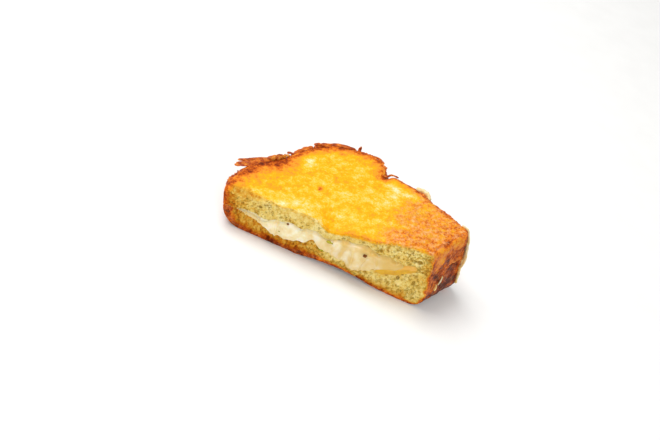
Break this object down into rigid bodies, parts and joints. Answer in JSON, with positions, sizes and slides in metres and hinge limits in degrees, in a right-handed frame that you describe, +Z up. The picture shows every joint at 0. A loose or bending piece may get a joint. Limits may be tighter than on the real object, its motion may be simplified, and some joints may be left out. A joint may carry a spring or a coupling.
{
  "type": "griddled cheese melt sandwich half",
  "caption": "Half of a griddled cheese melt: toasted pan-loaf slices round melted white and yellow cheese that swells out of the diagonal cut.",
  "frame": {"origin": "on the surface it stands on, under the middle of its bounding box", "axes": "+X along the cut from the crown end to the base end, +Y from the cut into the bread, +Z up"},
  "size_m": [0.1794, 0.0997, 0.0524],
  "materials": {
    "toasted_bread": "buttered griddled bread, golden with orange crust",
    "toasted_bread_under": "griddled bread, browner below",
    "white_cheese": "melted white cheese, soft gloss",
    "yellow_cheese": "melted yellow cheese, soft gloss"
  },
  "bodies": {
    "root": {"bread_top": "toasted_bread", "bread_bottom": "toasted_bread_under", "cheese_white": "white_cheese", "cheese_yellow": "yellow_cheese"}
  },
  "joints": []
}
